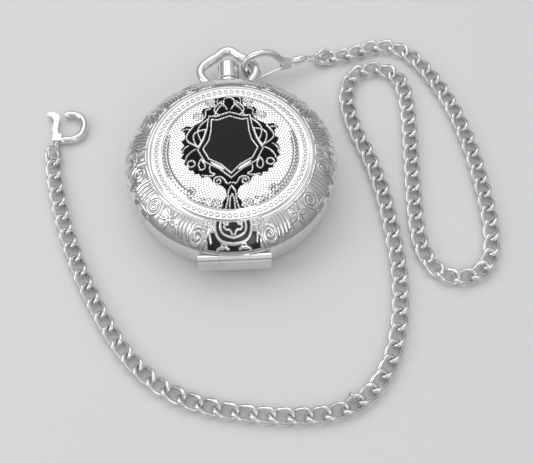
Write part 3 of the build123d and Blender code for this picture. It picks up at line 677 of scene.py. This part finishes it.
top, black = border_grid(ACROSS)
under, _ = border_grid(UNDER, -BORDER_DEPTH)
points = np.concatenate([top, under])
faces = []


def strip(row_a, row_b, offset_a, offset_b, flip):
    """A band of faces round the border between two rows of points."""
    first_a, first_b = offset_a + row_a * ROUND, offset_b + row_b * ROUND
    for j in range(ROUND):
        k = (j + 1) % ROUND
        quad = (first_a + j, first_b + j, first_b + k, first_a + k)
        faces.append(quad[::-1] if flip else quad)


for i in range(ACROSS - 1):
    strip(i, i + 1, 0, 0, False)
for i in range(UNDER - 1):
    strip(i, i + 1, len(top), len(top), True)
strip(ACROSS - 1, UNDER - 1, 0, len(top), False)
strip(0, 0, 0, len(top), True)
black = np.concatenate([black, np.zeros(len(under))])
border = make_sheet("Cover_border", points, faces, black)
print("border", len(faces), "faces")

# %% [markdown]
# Cover finish: bright plate, with rows of engine-turned dots painted as shade on the centre, black where the
# ground lies low, and painted shade along the groove lines and round the feet of the ridges. The dots are a
# pattern on Object coordinates and not holes in the mesh, because there are thousands of them.
# %% Cover finish
# The engine-turned dots are painted shade: dark spots where the dimples' shade would fall, since the mesh has no
# dimples.
DOT_SPOKES = 96.0
DOT_PITCH = 0.0009
DOT_EDGE = 0.38
DOT_SHADE = 0.8
# One black serves the blackened ground and all the painted shade on the cover.
GROUND_AND_SHADE_BLACK = (0.008, 0.008, 0.009, 1)


def dimple_shade(tree):
    """How dark the painted dimple shade is: where waves round and outwards meet."""
    place = tree.nodes.new("ShaderNodeTexCoord").outputs["Object"]
    split = add_node(tree, "ShaderNodeSeparateXYZ", i0=place)
    angle = math_node(tree, "ARCTAN2", split.outputs[1], split.outputs[0])
    flat = add_node(tree, "ShaderNodeVectorMath", {"operation": "MULTIPLY"}, i0=place, i1=(1, 1, 0))
    away = add_node(tree, "ShaderNodeVectorMath", {"operation": "LENGTH"}, i0=flat.outputs[0])
    row = math_node(tree, "SINE", math_node(tree, "MULTIPLY", angle, DOT_SPOKES))
    rings = math_node(tree, "MULTIPLY", away.outputs["Value"], 2 * math.pi / DOT_PITCH)
    dot = math_node(tree, "MULTIPLY", row, math_node(tree, "SINE", rings))
    return math_node(tree, "MULTIPLY", math_node(tree, "GREATER_THAN", dot, DOT_EDGE), DOT_SHADE)


def chased(name, dots):
    """Bright plate that turns black where the point value says so, for blackened ground and painted shade alike,
    with or without the painted dot shade.
    """
    mat = finish_material(name, (0.88, 0.88, 0.87), 1, 0.1, 0.08)
    tree = mat.node_tree
    shader = tree.nodes["Principled BSDF"]
    black = tree.nodes.new("ShaderNodeAttribute")
    black.attribute_name = "black"
    factor = black.outputs["Fac"]
    if dots:
        factor = math_node(tree, "MINIMUM", math_node(tree, "MAXIMUM", factor, dimple_shade(tree)), 1.0)
    mix = tree.nodes.new("ShaderNodeMix")
    mix.data_type = "RGBA"
    # a Mix node's colours are its inputs 6 and 7 and its output 2
    link(tree, shader.inputs["Base Color"].links[0].from_socket, mix.inputs[6])
    mix.inputs[7].default_value = GROUND_AND_SHADE_BLACK
    link(tree, factor, mix.inputs[0])
    link(tree, mix.outputs[2], shader.inputs["Base Color"])
    return mat


centre.data.materials.append(chased("Chased centre", True))
border.data.materials.append(chased("Chased border", False))
for obj in (centre, border):
    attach(obj, "cover")
print("chased", centre.data.materials[0].name, "and", border.data.materials[0].name)

# %% [markdown]
# A band of small rings frames the middle. Each is a circle of thin wire, set at even steps round a larger circle.
# %% Bead band
bead_inputs = {"Beads": 78, "Radius": 16.3 * MM, "Bead": 0.42 * MM, "Wire": 0.14 * MM, "Height": 13.44 * MM}
tree, start, real = node_tree("Bead band", bead_inputs, FINISH["silver"])
ring = add_node(tree, "GeometryNodeCurvePrimitiveCircle")
link(tree, start.outputs["Beads"], ring.inputs["Resolution"])
link(tree, start.outputs["Radius"], ring.inputs["Radius"])
eyelet = add_node(tree, "GeometryNodeCurvePrimitiveCircle", i0=16)
link(tree, start.outputs["Bead"], eyelet.inputs["Radius"])
section = add_node(tree, "GeometryNodeCurvePrimitiveCircle", i0=8)
link(tree, start.outputs["Wire"], section.inputs["Radius"])
body = add_node(tree, "GeometryNodeCurveToMesh", Curve=eyelet.outputs[0])
link(tree, section.outputs[0], body.inputs["Profile Curve"])
up = add_node(tree, "ShaderNodeCombineXYZ")
link(tree, start.outputs["Height"], up.inputs[2])
spots = add_node(tree, "GeometryNodeCurveToPoints", {"mode": "EVALUATED"}, Curve=ring.outputs[0])
placed = add_node(tree, "GeometryNodeInstanceOnPoints", Points=spots.outputs[0], Instance=body.outputs[0])
raised = add_node(tree, "GeometryNodeTransform", Geometry=placed.outputs[0])
link(tree, up.outputs[0], raised.inputs["Translation"])
link(tree, raised.outputs[0], real.inputs[0])
beads = grown("Bead_band", tree, bead_inputs)
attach(beads, "cover")
print("beads", bead_inputs["Beads"], "with", len(beads.data.polygons), "faces")

# %% [markdown]
# Table and light: a plain pale floor under large soft lamps.
# %% Stage
FLOOR_GAP = 0.00001
floor_mesh = bpy.data.meshes.new("Table")
floor_corners = [(-2, -2, 0), (2, -2, 0), (2, 2, 0), (-2, 2, 0)]
floor_mesh.from_pydata(floor_corners, [], [(0, 1, 2, 3)])
floor = bpy.data.objects.new("Table", floor_mesh)
floor.location.z = min(cad_low.z, 0) - FLOOR_GAP
bpy.context.collection.objects.link(floor)
table = bpy.data.materials.new("Table")
table.use_nodes = True
table.node_tree.nodes["Principled BSDF"].inputs["Base Color"].default_value = (0.8, 0.8, 0.8, 1)
table.node_tree.nodes["Principled BSDF"].inputs["Roughness"].default_value = 0.7
floor_mesh.materials.append(table)


AIM = (0.005, -0.005, 0.0)
LAMPS = [
    ("Overhead", (-0.08, 0.30, 0.50), 0.5, 0.6),
    ("Left", (-0.45, -0.05, 0.30), 0.25, 0.35),
    ("Front", (0.15, -0.45, 0.40), 0.20, 0.2),
]


def lamp(name, place, size, power):
    """A soft square lamp that points at the watch."""
    light = bpy.data.lights.new(name, "AREA")
    light.size = size
    light.energy = power
    obj = bpy.data.objects.new(name, light)
    obj.location = place
    aim = np.array(AIM) - np.array(place)
    tilt = math.acos(-aim[2] / np.linalg.norm(aim))
    obj.rotation_euler = (tilt, 0, math.atan2(aim[1], aim[0]) - math.pi / 2)
    bpy.context.collection.objects.link(obj)


for name, place, size, power in LAMPS:
    lamp(name, place, size, power)
world = bpy.data.worlds.new("Room")
world.use_nodes = True
tree = world.node_tree
place = tree.nodes.new("ShaderNodeTexCoord")
split = tree.nodes.new("ShaderNodeSeparateXYZ")
ramp = tree.nodes.new("ShaderNodeValToRGB")
ramp.color_ramp.elements[0].color = (0.30, 0.30, 0.31, 1)
ramp.color_ramp.elements[0].position = 0.1
ramp.color_ramp.elements[1].color = (0.95, 0.95, 0.95, 1)
ramp.color_ramp.elements[1].position = 0.85
link(tree, place.outputs["Generated"], split.inputs[0])
link(tree, split.outputs[2], ramp.inputs["Fac"])
link(tree, ramp.outputs["Color"], tree.nodes["Background"].inputs["Color"])
tree.nodes["Background"].inputs["Strength"].default_value = 0.8
bpy.context.scene.world = world
bpy.context.scene.view_settings.view_transform = "Standard"
print("lamps", len(LAMPS))
